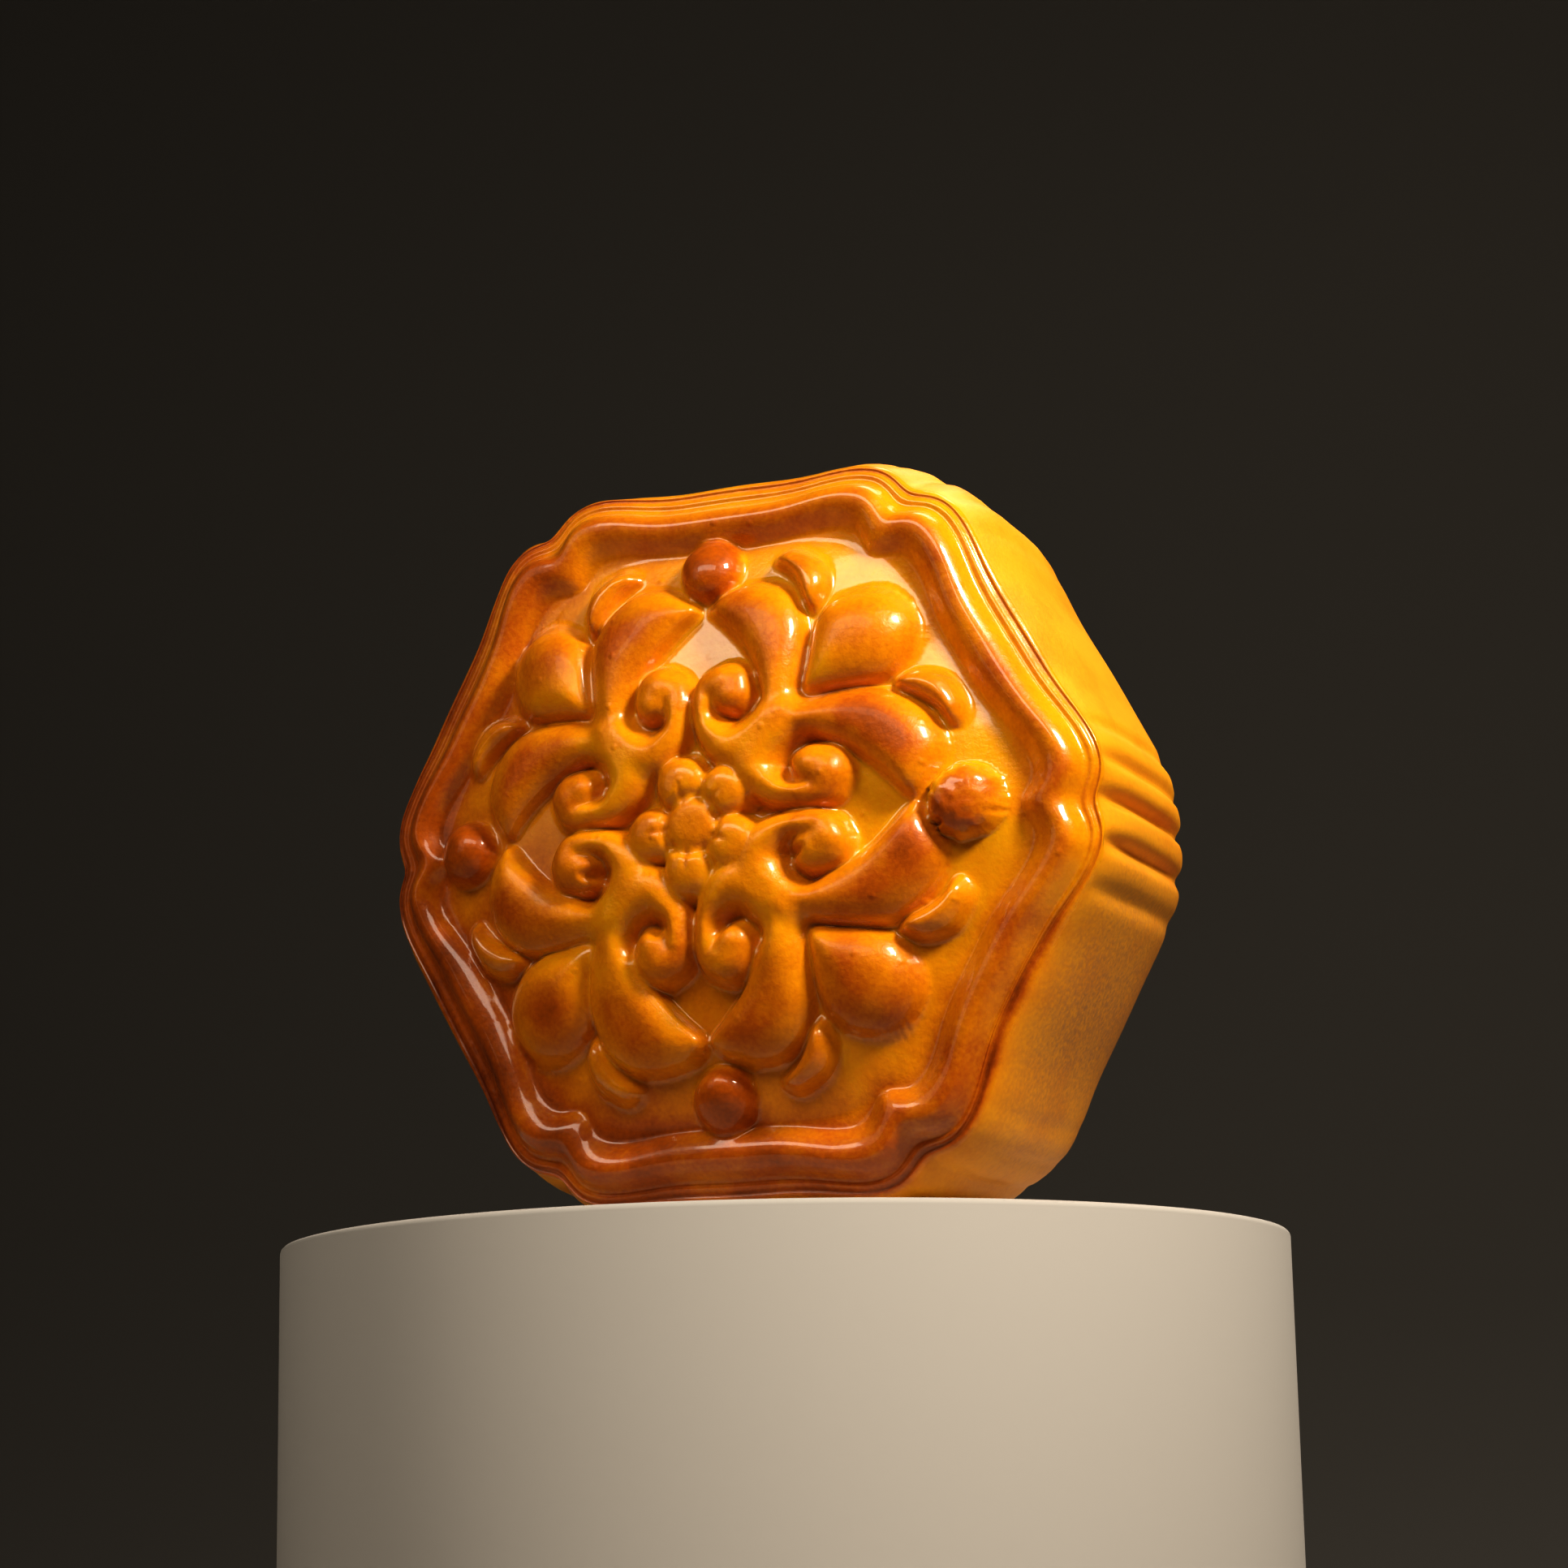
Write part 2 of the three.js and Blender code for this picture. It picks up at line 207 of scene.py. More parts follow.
# Puffed forms: [distance from the edge at which a form is full, height, how square its
# shoulder is].
PLATE_FORM = (3.0, 2.95, 2.2)
TUBE_FORM = (1.9, 2.75, 2.1)
BALL_FORM = (2.7, 3.0, 2.1)
BUD_FORM = (1.8, 2.5, 2.0)
PETAL_FORM = (3.8, 3.2, 2.1)

# Furrows: [depth, half width, painted shade that darkens the furrow].
HOLLOW_FURROW = (1.5, 1.15, 0.14)
CREASE_FURROW = (1.3, 0.42, 0.0)
EYE_FURROW = (0.5, 0.24, 0.0)
CLEFT_FURROW = (0.22, 0.26, 0.2)
FISSURE_DEPTH = 1.2

# Browning of the forms, 0 golden and 1 dark: [at the foot, what it gains toward the top or tip].
PLATE_TONE = (0.27, 0.32)
CURL_TONE = (0.26, 0.12)
PETAL_TONE = (0.28, 0.22)
PETAL_ROOT_TONE = 0.24
PEARL_TONE = (0.6, 0.12)
BARE_TONE = 0.12          # dry dough at the cracked pearl's edge
# These gain it for each millimetre of rise.
BUD_TONE = (0.2, 0.1)
FLOWER_TONE = (0.16, 0.05)
EYE_TONE = (0.2, 0.07)


# ---- Small helpers ----


def channels(code):
    """The sRGB channels of a hex code, from 0 to 1."""
    return tuple(int(code[i : i + 2], 16) / 255 for i in (1, 3, 5))


def srgb(code):
    """A linear colour from an sRGB hex code."""
    linear = [c / 12.92 if c <= 0.04045 else ((c + 0.055) / 1.055) ** 2.4 for c in channels(code)]
    return (*linear, 1.0)


def hex_of(colour):
    """The sRGB hex code of a colour property."""
    return "#" + "".join(f"{round(c * 255):02x}" for c in colour)


def add_node(tree, kind, settings=None, values=None, links=None):
    """Adds a node with its settings, socket values and incoming links."""
    node = tree.nodes.new(kind)
    for name, value in (settings or {}).items():
        setattr(node, name, value)
    for socket, value in (values or {}).items():
        node.inputs[socket].default_value = value
    for socket, source in (links or {}).items():
        tree.links.new(source, node.inputs[socket])
    return node


def smooth_line(stations, per_span):
    """Points on a smooth curve through the stations, of any number of columns."""
    given = np.array(stations, float)
    ends = 2 * given[0] - given[1], 2 * given[-1] - given[-2]
    p = np.vstack([ends[0], given, ends[1]])
    spans = []
    for i in range(1, len(p) - 2):
        t = np.linspace(0, 1, per_span, endpoint=False)[:, None]
        a, b, c, d = p[i - 1], p[i], p[i + 1], p[i + 2]
        spans.append(
            0.5 * (2 * b + (c - a) * t + (2 * a - 5 * b + 4 * c - d) * t**2
                   + (3 * b - a - 3 * c + d) * t**3)
        )
    return np.vstack([*spans, given[-1]])


def smooth_max(a, b, soft):
    """The larger of two heights, with a fillet of about that size where they cross."""
    share = np.clip(0.5 + 0.5 * (a - b) / soft, 0, 1)
    return b + (a - b) * share + soft * share * (1 - share)


def waves(points, size, seed, count=10):
    """Smooth unevenness between about -1 and 1, with features of the given size."""
    rng = np.random.default_rng(seed)
    total = np.zeros(len(points))
    for _ in range(count):
        direction = rng.normal(size=points.shape[1])
        direction /= np.linalg.norm(direction)
        length = size * rng.uniform(0.7, 1.6)
        total += np.sin(points @ direction * 2 * math.pi / length + rng.uniform(0, 2 * math.pi))
    peak = 1.6                # such a sum's usual peak, in its own spreads
    return total / math.sqrt(count / 2) / peak


def rounded(share, power):
    """Height of a rounded form, 1 at its middle and 0 at its edge, negative outside."""
    rest = 1 - np.abs(share) ** power
    return np.sign(rest) * np.abs(rest) ** (1 / power)


def bell(off, half_width):
    """1 in the middle, and falling off smoothly to both sides of it."""
    return np.exp(-((off / half_width) ** 2))


def fade_in(values, start, length):
    """0 up to the start, and 1 from that length past it."""
    return np.clip((values - start) / length, 0, 1)


def turned(angle, start):
    """Degrees from a start to an angle, between -180 and 180."""
    return (angle - start + 180) % 360 - 180


def beside(angle, where):
    """1 at a place round the face, given as [angle, half width], and less beside it."""
    middle, half_width = where
    return bell(turned(angle, middle), half_width)


def reach_of(offsets):
    """Length of each offset."""
    return np.hypot(offsets[:, 0], offsets[:, 1])


def browned(tone, share):
    """Browning of a form: its tone at the foot, and a share of what it gains."""
    foot, gain = tone
    return foot + gain * share


# ---- Height of the pressed face ----

STEEPEST = 4.0            # rise over run of the raised forms' flanks
FLANK_FILLET = 0.3        # softness where a flank turns into the form's top
MERGE = 0.5               # height over which a form's finish takes over from the ground's
FOOT_SHADE = 0.26             # painted shade along a form's foot
FOOT_SHADE_HEIGHT = 0.1         # how high above the ground it lies, and over what spread
FOOT_SHADE_SPREAD = 0.3
SATIN = 0.86              # how dull the scrolls' and petals' tops baked
SATIN_START = 1.4         # height above the ground where the dull tops start
ARM_START = 9.0           # v from where an arm widens
CURL_START = 7.0          # v from where a curl shifts
BLEND = 5.0               # length over which both come in


def ground_height(points):
    """Height of the sunk ground, domed from its middle to the rim's foot."""
    turn = np.arctan2(points[:, 1], points[:, 0])
    edge = GROUND_RADIUS + GROUND_MARGIN + GROUND_LOBE * np.cos(6 * turn)
    share = reach_of(points) / edge
    return GROUND_RIM + GROUND_RISE * np.clip(1 - share**2, 0, None)


def stroke_depth(points, stations):
    """How far inside a stroke each point lies, negative outside."""
    line = smooth_line(stations, 24)
    reach = np.hypot(points[:, :1] - line[:, 0], points[:, 1:] - line[:, 1])
    return (line[:, 2] - reach).max(1)


def closed_line(stations, per_span=16):
    """A smooth closed curve through the stations."""
    around = [stations[-1], *stations, stations[0], stations[1]]
    return smooth_line(around, per_span)[per_span : -per_span - 1]


def outline_depth(points, outline, soft):
    """How far inside a closed outline each point lies, negative outside. Where two sides are
    equally far, as at a tip, the depth is rounded off."""
    ends = np.roll(outline, -1, 0)
    edge = ends - outline
    length = reach_of(edge)
    middle = outline + edge / 2
    gap = np.hypot(points[:, :1] - middle[:, 0], points[:, 1:] - middle[:, 1])
    weight = (np.exp(-gap / soft) * length).sum(1) / (2 * soft)
    depth = np.maximum(-soft * np.log(np.maximum(weight, 1e-30)), 0)
    u, v = points[:, :1], points[:, 1:]
    crossed = (outline[:, 1] > v) != (ends[:, 1] > v)
    rise = np.where(edge[:, 1] == 0, 1e-9, edge[:, 1])
    beyond = u < outline[:, 0] + (v - outline[:, 1]) / rise * edge[:, 0]
    inside = (crossed & beyond).sum(1) % 2 == 1
    return np.where(inside, depth, -gap.min(1))


def pillow(depth, form):
    """Rise of a puffed form over the depth inside its outline, no steeper at the foot than
    pressed dough stands."""
    edge, height, power = form
    dome = height * rounded(1 - np.clip(depth / edge, 0, 1), power)
    return -smooth_max(-dome, -STEEPEST * (depth + 0.03), FLANK_FILLET)


def satin_top(rise):
    """How dull a form baked, at each rise above the ground."""
    return SATIN * fade_in(rise, SATIN_START, 1)


class Face:
    """Height, browning and satin at every point of the pressed face."""

    def __init__(self, points, base, browning):
        self.points = points
        self.ground = ground_height(points)
        self.height = base.copy()
        self.browning = browning.copy()
        self.satin = np.zeros(len(points))

    def near(self, middle, reach):
        """Rows of the points within reach of a middle."""
        return np.flatnonzero(reach_of(self.points - np.array(middle)) < reach)

    def copied(self, circle, turn, flip=False):
        """Rows of the points in a circle of one copy of the quarter, and these points in the
        quarter's coordinates."""
        middle, reach = circle
        rows = self.near(in_quarter(*middle, turn, flip), reach)
        centred = self.points[rows] - np.array(PATTERN_SHIFT)
        return rows, quarter_points(centred, turn, flip)

    def raise_form(self, rows, rise, browning, soft, satin=0.0):
        """Merges a raised form: rise above the ground, how brown and how satin it is."""
        height = self.ground[rows] + rise
        over = np.clip(0.5 + (height - self.height[rows]) / MERGE, 0, 1)
        self.height[rows] = smooth_max(height, self.height[rows], soft)
        self.browning[rows] += (browning - self.browning[rows]) * over
        self.satin[rows] += (satin - self.satin[rows]) * over
        # Painted shade darkens the crease along the form's foot.
        self.browning[rows] += FOOT_SHADE * bell(rise - FOOT_SHADE_HEIGHT, FOOT_SHADE_SPREAD)


def quarter_points(points, turn, flip):
    """Points in the first quarter's coordinates, for one of the pattern's eight copies."""
    quarter = -turn * math.pi / 2
    u = points[:, 0] * math.cos(quarter) - points[:, 1] * math.sin(quarter)
    v = points[:, 0] * math.sin(quarter) + points[:, 1] * math.cos(quarter)
    return np.stack([v, u] if flip else [u, v], 1)


def in_quarter(u, v, turn, flip):
    """The face's point for a point of the first quarter."""
    if flip:
        u, v = v, u
    angle = turn * math.pi / 2
    return (
        u * math.cos(angle) - v * math.sin(angle) + PATTERN_SHIFT[0],
        u * math.sin(angle) + v * math.cos(angle) + PATTERN_SHIFT[1],
    )


def curl_rise(points, notch):
    """Rise of a scroll's curl, with the short crease that runs into it from the hollow."""
    tube = pillow(stroke_depth(points, TUBE), TUBE_FORM)
    ball = pillow(stroke_depth(points, BALL), BALL_FORM)
    crease = [(4.6, 9.4, 0.1), (*notch, 0.05), (notch[0] - 0.2, notch[1] + 0.8, -0.4)]
    off = np.clip(-stroke_depth(points, crease), 0, None)
    depth, half_width, _ = CREASE_FURROW
    return smooth_max(ball, tube, 0.8) - depth * bell(off, half_width)


def scroll(points, arms):
    """Rise and browning of one corner's scroll: a plate with two arms, two hollows and two
    curls, from that corner's row of ARM_COPIES."""
    plate = stroke_depth(points, HUB)
    hollow = np.zeros(len(points))
    browning_and_light = np.zeros(len(points))
    curls = []
    depth, half_width, furrow_shade = HOLLOW_FURROW
    for side, (widen, blunt, shift, notch, extra) in zip([points, points[:, ::-1]], arms):
        outline = closed_line(BLUNT_ARM if blunt else ARM)
        arm = outline_depth(side, outline, 0.5) + widen * fade_in(side[:, 1], ARM_START, BLEND)
        # At the lower left corner this is negative: the arms there are painted lighter.
        browning_and_light += extra * fade_in(arm, -0.5, 1.5)
        bent = side - fade_in(side[:, 1:], CURL_START, BLEND) * np.array(shift)
        curls.append(curl_rise(bent, notch))
        plate = smooth_max(plate, smooth_max(arm, stroke_depth(bent, ROOT), 1.0), 1.0)
        off = np.clip(0.2 - stroke_depth(bent, HOLLOW), 0, None)
        hollow = np.maximum(hollow, bell(off, half_width))
    rise = pillow(plate, PLATE_FORM) - depth * hollow
    # The arms browned toward their tips, and more on their tops than at their edges.
    outward = fade_in(reach_of(points), 13.5, 8)
    inside = fade_in(plate, -0.26, 2.6)
    # Painted shade darkens the hollows.
    tone = browned(PLATE_TONE, outward * inside) + browning_and_light * inside + furrow_shade * hollow**2
    for curl in curls:
        tone = np.where(curl > rise, browned(CURL_TONE, fade_in(curl, 1.2, 1)), tone)
        rise = smooth_max(curl, rise, 0.2)
    return rise, tone


def add_scroll(face, turn):
    """One corner's scroll."""
    rows, local = face.copied(SCROLL_CIRCLE, turn)
    rise, tone = scroll(local, ARM_COPIES[turn])
    face.raise_form(rows, rise, tone, soft=0.2, satin=satin_top(rise))


def add_bud(face, turn, flip):
    """One of a corner's two buds."""
    rows, local = face.copied(BUD_CIRCLE, turn, flip)
    rise = pillow(outline_depth(local, closed_line(BUD), 0.25), BUD_FORM)
    face.raise_form(rows, rise, browned(BUD_TONE, rise), soft=0.2)


def add_petal(face, turn):
    """One corner's petal, paler toward its root."""
    rows, local = face.copied(PETAL_CIRCLE, turn)
    mirrored = [(v, u) for u, v in PETAL[-2:0:-1]]
    depth = outline_depth(local, closed_line([*PETAL, *mirrored]), 0.5)
    rise = pillow(depth + PETAL_SWELLS[turn], PETAL_FORM)
    # The lower petals get painted shade.
    tone = browned(PETAL_TONE, fade_in(depth, 0, 3)) + PETAL_SHADES[turn]
    past_root = fade_in(local.sum(1), 25, 9)
    tone = PETAL_ROOT_TONE + (tone - PETAL_ROOT_TONE) * past_root
    face.raise_form(rows, rise, tone, soft=0.2, satin=satin_top(rise))


def add_pearls(face):
    """The three round pearls that baked whole."""
    for middle in PEARLS:
        rows = face.near(middle, PEARL_RADIUS + 1)
        share = reach_of(face.points[rows] - np.array(middle)) / PEARL_RADIUS
        rise = PEARL_RISE * rounded(share, 2.0)
        tone = browned(PEARL_TONE, 1 - fade_in(share, 0.1, 1))
        face.raise_form(rows, rise, tone, soft=0.12, satin=0.35)


def add_cracked_pearl(face):
    """The right pearl, baked dry: its edge is ragged, pale and split by fissures."""
    rows = face.near(CRACKED_MIDDLE, CRACKED_RADIUS + 1.5)
    offset = face.points[rows] - np.array(CRACKED_MIDDLE)
    turn = np.arctan2(offset[:, 1], offset[:, 0])
    reach = reach_of(offset)
    around = np.stack([np.cos(turn), np.sin(turn)], 1)
    share = reach / (CRACKED_RADIUS * (1 + 0.035 * waves(around, 0.45, SEED + 20)))
    rise = PEARL_RISE * rounded(share, 2.3)
    for angle, start, half_width in FISSURES:
        bend = 9 * np.sin(6 * share + angle)
        off = np.radians(turned(np.degrees(turn) + bend, angle)) * reach
        rise -= FISSURE_DEPTH * bell(off, half_width) * fade_in(share, start, 0.1)
    ragged = share + 0.12 * waves(offset, 2.2, SEED + 23) - 0.1 * around[:, 0]
    crumb = fade_in(ragged, 0.86, 0.08)
    rise += (0.05 + 0.2 * crumb) * waves(offset, 1.1, SEED + 21)
    patchy = PEARL_TONE[0] + 0.07 * waves(offset, 2.4, SEED + 22)
    bare = fade_in(ragged, 0.76, 0.1) * (0.8 + 0.2 * around[:, 1])
    face.raise_form(rows, rise, patchy * (1 - bare) + BARE_TONE * bare, soft=0.1)


def add_flower(face):
    """Five petals, each cleft toward the eye, and the round eye among them."""
    middle = np.array(FLOWER_MIDDLE)
    eye_depth, eye_width, _ = EYE_FURROW
    cleft_depth, cleft_width, furrow_shade = CLEFT_FURROW
    for distance, angle, radius in FLOWER_PETALS:
        toward = np.array([math.cos(math.radians(angle)), math.sin(math.radians(angle))])
        across = np.array([-toward[1], toward[0]])
        rows = face.near(middle + distance * toward, radius + 1)
        offset = face.points[rows] - middle - distance * toward
        rise = FLOWER_RISE * rounded(reach_of(offset) / radius, 2.9)
        from_eye = reach_of(face.points[rows] - middle) - FLOWER_EYE
        rise -= eye_depth * bell(from_eye - 0.05, eye_width)
        cleft = bell(offset @ across, cleft_width) * fade_in(-(offset @ toward), -0.12, 1.2)
        # Painted shade darkens the clefts.
        tone = browned(FLOWER_TONE, rise) + furrow_shade * cleft
        face.raise_form(rows, rise - cleft_depth * cleft, tone, soft=0.12, satin=0.4)
    rows = face.near(middle, FLOWER_EYE + 1)
    rise = EYE_RISE * rounded(reach_of(face.points[rows] - middle) / FLOWER_EYE, 4.0)
    face.raise_form(rows, rise, browned(EYE_TONE, rise), soft=0.1, satin=0.9)


def press_pattern(points, base, browning):
    """Height, browning and satin of the face under the mould's pattern."""
    face = Face(points, base, browning)
    for turn in range(4):
        add_petal(face, turn)
        for flip in (False, True):
            add_bud(face, turn, flip)
    for turn in range(4):
        add_scroll(face, turn)
    add_pearls(face)
    add_cracked_pearl(face)
    add_flower(face)
    return face.height, face.browning, face.satin


# ---- The crust's mesh ----

# Where round the face something happens: [angle, half width], in degrees: where the groove slipped,
# where the side is floury and in painted shade, and where painted shade darkens the rim's slope.
SLIPPED = (328, 22)
FLOURED_AND_SHADED = (330, 22)
SHADED_SLOPE = (318, 28)

SLIP = 1.3                # how far inward the groove slipped
SLIP_ROWS = 6             # rows to both sides of the groove that slipped with it
DRIFT = 0.1               # unevenness of the pressed lines
UNEVEN = 0.06             # unevenness of every surface
BAKED_SIZE = 0.992        # the baked outline's share of the laid-out one
BAKED_SWELL = 0.0015      # and how unevenly the side swelled
BACK_EDGE = -31.05        # height of the back's rounded edge

GROUND_TONE = (0.03, 0.3)  # browning of the ground, and what it gains at the rim's foot
SHADIEST = 215            # angle of the side that lies most in painted shade
RIM_SHADE = 0.2            # painted shade added to the rim there
SLOPE_SHADE = 0.32         # and to its outer slope, on top of that
GROUND_SHADE = 0.5         # and to the ground's edge
SPOT_SHADE = 0.2           # painted shade added to the slope at the lower right


def outline_radius(angle, rows):
    """Distance from the face's middle to each ring's outline, at angles in degrees."""
    side, lobe, notch, _, rim_share, wall_share, flute_share = rows[:7]
    radius = side.copy()
    for corner, rim_reach, wall_reach, fluted in CORNERS:
        from_corner = turned(angle, corner)
        past_lobe = np.clip(np.abs(from_corner) - LOBE_HALF_ANGLE, 0, None)
        reach = lobe + rim_reach * rim_share + wall_reach * wall_share
        radius += reach * bell(past_lobe, LOBE_FALL)
        radius -= notch * bell(from_corner, NOTCH_HALF_ANGLE)
        for middle, depth, half_width in FLUTES:
            radius -= flute_share * fluted * depth * bell(from_corner - middle, half_width)
    return radius


def section_rows(steps):
    """Rows along the section, that many for each row of RINGS, with their place in it last."""
    return smooth_line([(*row, index) for index, row in enumerate(RINGS)], steps)


def crust_bmesh(segments, ring_count):
    """A flat square grid with square rings extruded round it: the crust before it is shaped.

    Ring k lies on the square of half width 1 + k, so a vertex keeps its ring and its angle.
    """
    bm = bmesh.new()
    bmesh.ops.create_grid(bm, x_segments=segments, y_segments=segments, size=1.0)
    edges = [edge for edge in bm.edges if edge.is_boundary]
    for ring in range(1, ring_count + 1):
        made = bmesh.ops.extrude_edge_only(bm, edges=edges)["geom"]
        verts = [item for item in made if isinstance(item, bmesh.types.BMVert)]
        edges = [
            item for item in made if isinstance(item, bmesh.types.BMEdge) and item.is_boundary
        ]
        scale = (1 + ring) / ring
        bmesh.ops.scale(bm, vec=(scale, scale, 1), verts=verts)
    closing = bmesh.ops.contextual_create(bm, geom=edges)["faces"]
    bmesh.ops.poke(bm, faces=closing)
    return bm


def grid_places(mesh):
    """How far out on the flat grid each vertex lies, and its angle round the face in degrees."""
    flat = np.zeros(len(mesh.vertices) * 3)
    mesh.vertices.foreach_get("co", flat)
    x, y, _ = flat.reshape(-1, 3).T
    out = np.maximum(np.abs(x), np.abs(y))
    upright = np.abs(y) > np.abs(x)
    with np.errstate(divide="ignore", invalid="ignore"):
        quarter = np.where(upright, math.pi / 2 - x / y * math.pi / 4, y / x * math.pi / 4)
    opposite = np.where(np.where(upright, y, x) < 0, math.pi, 0)
    return out, np.degrees(np.nan_to_num(quarter) + opposite) % 360


def painted_side_shade(angle, place, out, on_grid):
    """Painted shade, darker toward the lower left, away from the light: the rim's slope most of all,
    and the slope at the lower right too.
    """
    lower_left = (1 + np.cos(np.radians(angle - SHADIEST))) / 2
    slope = fade_in(place, SLOPE_ROW, 3) * (1 - fade_in(place, LAST_FACE_ROW - 1.5, 1.5))
    rim = (RIM_SHADE + SLOPE_SHADE * slope) * (place < LAST_FACE_ROW)
    by_side = np.where(on_grid, GROUND_SHADE * out, rim) * lower_left
    return by_side + SPOT_SHADE * slope * beside(angle, SHADED_SLOPE)


def shape_crust(mesh, sizes):
    """Moves the flat grid's vertices onto the pressed, baked cake. Gives each vertex's
    browning, satin and flour, and its place in RINGS."""
    out, angle = grid_places(mesh)
    rows = section_rows(sizes.ring_steps)
    ring = np.rint(out - 1).astype(int)
    closing = len(mesh.vertices) - 1
    ring[closing] = len(rows) + sizes.back_rings
    on_grid = out <= 1 + 1e-5
    on_grid[closing] = False
    ring[on_grid] = 0
    back = np.clip(ring - (len(rows) - 1), 0, None)
    row = rows[np.clip(ring, 0, len(rows) - 1)].T.copy()
    height, browning, place = row[3], row[7], row[8]

    # The groove and the lip wander inward at the lower right, as the dough slipped there.
    near_groove = np.clip(1 - np.abs(place - GROOVE_ROW) / SLIP_ROWS, 0, 1)
    row[0] -= SLIP * beside(angle, SLIPPED) * near_groove
    edge = outline_radius(angle, rows[0][:, None] * np.ones(len(angle)))
    grid_radius = out * (GROUND_RADIUS + (edge - GROUND_RADIUS) * out**3)
    radius = np.where(on_grid, grid_radius, outline_radius(angle, row))
    radius *= np.clip(1 - back / (sizes.back_rings + 1), 0, 1)
    u = radius * np.cos(np.radians(angle))
    v = radius * np.sin(np.radians(angle))

    points = np.stack([u, v], 1)
    foot = fade_in(out, FOOT_START, 1 - FOOT_START) ** 2
    height[on_grid] = ground_height(points[on_grid])
    browning[on_grid] = browned(GROUND_TONE, foot)[on_grid]
    # Painted shade darkens the lower left, and the rim's slope at the lower right.
    browning += painted_side_shade(angle, place, out, on_grid)

    front = place < FRONT_ROWS
    satin = np.zeros(len(height))
    drift = DRIFT * np.stack([waves(points, 9, SEED), waves(points, 9, SEED + 1)], 1)
    height[front], browning[front], satin[front] = press_pattern(
        (points + drift)[front],
        height[front],
        browning[front],
    )
    solid = np.stack([u, v, height], 1)
    height += UNEVEN * waves(solid, 7, SEED + 2)
    swell = BAKED_SIZE + BAKED_SWELL * waves(solid, 14, SEED + 3) * (height < -3)
    # The unevenness doesn't reach over the back's rounded edge.
    at_back = height < BACK_EDGE + 0.05
    height[at_back] = np.minimum(height[at_back], BACK_EDGE)

    # Flour and dry dough dull the side at the lower right, and painted shade darkens it there.
    flour = beside(angle, FLOURED_AND_SHADED) * fade_in(place, LAST_FACE_ROW, 2.5) * (back == 0)
    x = (u * swell - FACE_X) * MM
    y = (FACE_Y - height) * MM
    z = np.clip((v * swell + FACE_Z) * MM, 0, None)
    mesh.vertices.foreach_set("co", np.stack([x, y, z], 1).ravel())
    mesh.update()
    return {"browning": browning, "satin": satin, "flour": flour}, place


def evened(mesh, values, rounds=3):
    """Values averaged a few times with those of the neighbouring vertices."""
    ends = np.zeros(len(mesh.edges) * 2, np.int32)
    mesh.edges.foreach_get("vertices", ends)
    first, second = ends.reshape(-1, 2).T
    count = len(values)
    neighbours = np.bincount(ends, minlength=count)
    for _ in range(rounds):
        total = np.bincount(first, values[second], count)
        total += np.bincount(second, values[first], count)
        values = (values + total / neighbours) / 2
    return values


def add_attribute(mesh, name, values):
    """A number for each vertex, which the materials read by its name."""
    attribute = mesh.attributes.new(name, "FLOAT", "POINT")
    attribute.data.foreach_set("value", values.astype(np.float32))


STEEP = 0.8                # faces that look forward less than this are flanks
FLANK_BACK = FACE_Y + 1.6  # flanks further back than this are the side's, and stay
SMOOTHINGS = 3


def even_flanks(bm):
    """Evens the steep flanks, because cells that cross them at an angle leave ribs. The cracked
    pearl stays ragged."""
    pearl = Vector((CRACKED_MIDDLE[0] - FACE_X, 0, CRACKED_MIDDLE[1] + FACE_Z)) * MM
    steep = {vert for face in bm.faces if -face.normal.y < STEEP for vert in face.verts}
    flanks = [
        vert for vert in steep
        if vert.co.y < FLANK_BACK * MM
        and math.hypot(vert.co.x - pearl.x, vert.co.z - pearl.z) > (CRACKED_RADIUS + 0.5) * MM
    ]
    for _ in range(SMOOTHINGS):
        bmesh.ops.smooth_vert(bm, verts=flanks, factor=0.5, use_axis_x=True, use_axis_y=True,
                              use_axis_z=True)


def build_crust(sizes, colours):
    """The whole crust as one closed mesh, with its browning, satin and flour as attributes."""
    rows = sizes.ring_steps * (len(RINGS) - 1)
    bm = crust_bmesh(sizes.segments, rows + sizes.back_rings)
    mesh = bpy.data.meshes.new("crust")
    bm.to_mesh(mesh)
    bm.free()
    finish, place = shape_crust(mesh, sizes)
    for name, values in finish.items():
        add_attribute(mesh, name, evened(mesh, values))

    bm = bmesh.new()
    bm.from_mesh(mesh)
    bmesh.ops.recalc_face_normals(bm, faces=bm.faces)
    even_flanks(bm)
    bm.to_mesh(mesh)
    bm.free()
    mesh.shade_smooth()

    mesh.materials.append(washed_crust(colours))
    mesh.materials.append(plain_crust(colours))
    furthest = np.array([max(place[v] for v in polygon.vertices) for polygon in mesh.polygons])
    mesh.polygons.foreach_set("material_index", (furthest > LAST_FACE_ROW).astype(np.int32))
    crust = bpy.data.objects.new("crust", mesh)
    bpy.context.scene.collection.objects.link(crust)
    return crust


# ---- Finishes ----

NOISE_SPAN = {"From Min": 0.3, "From Max": 0.7}  # where most of a noise texture lies


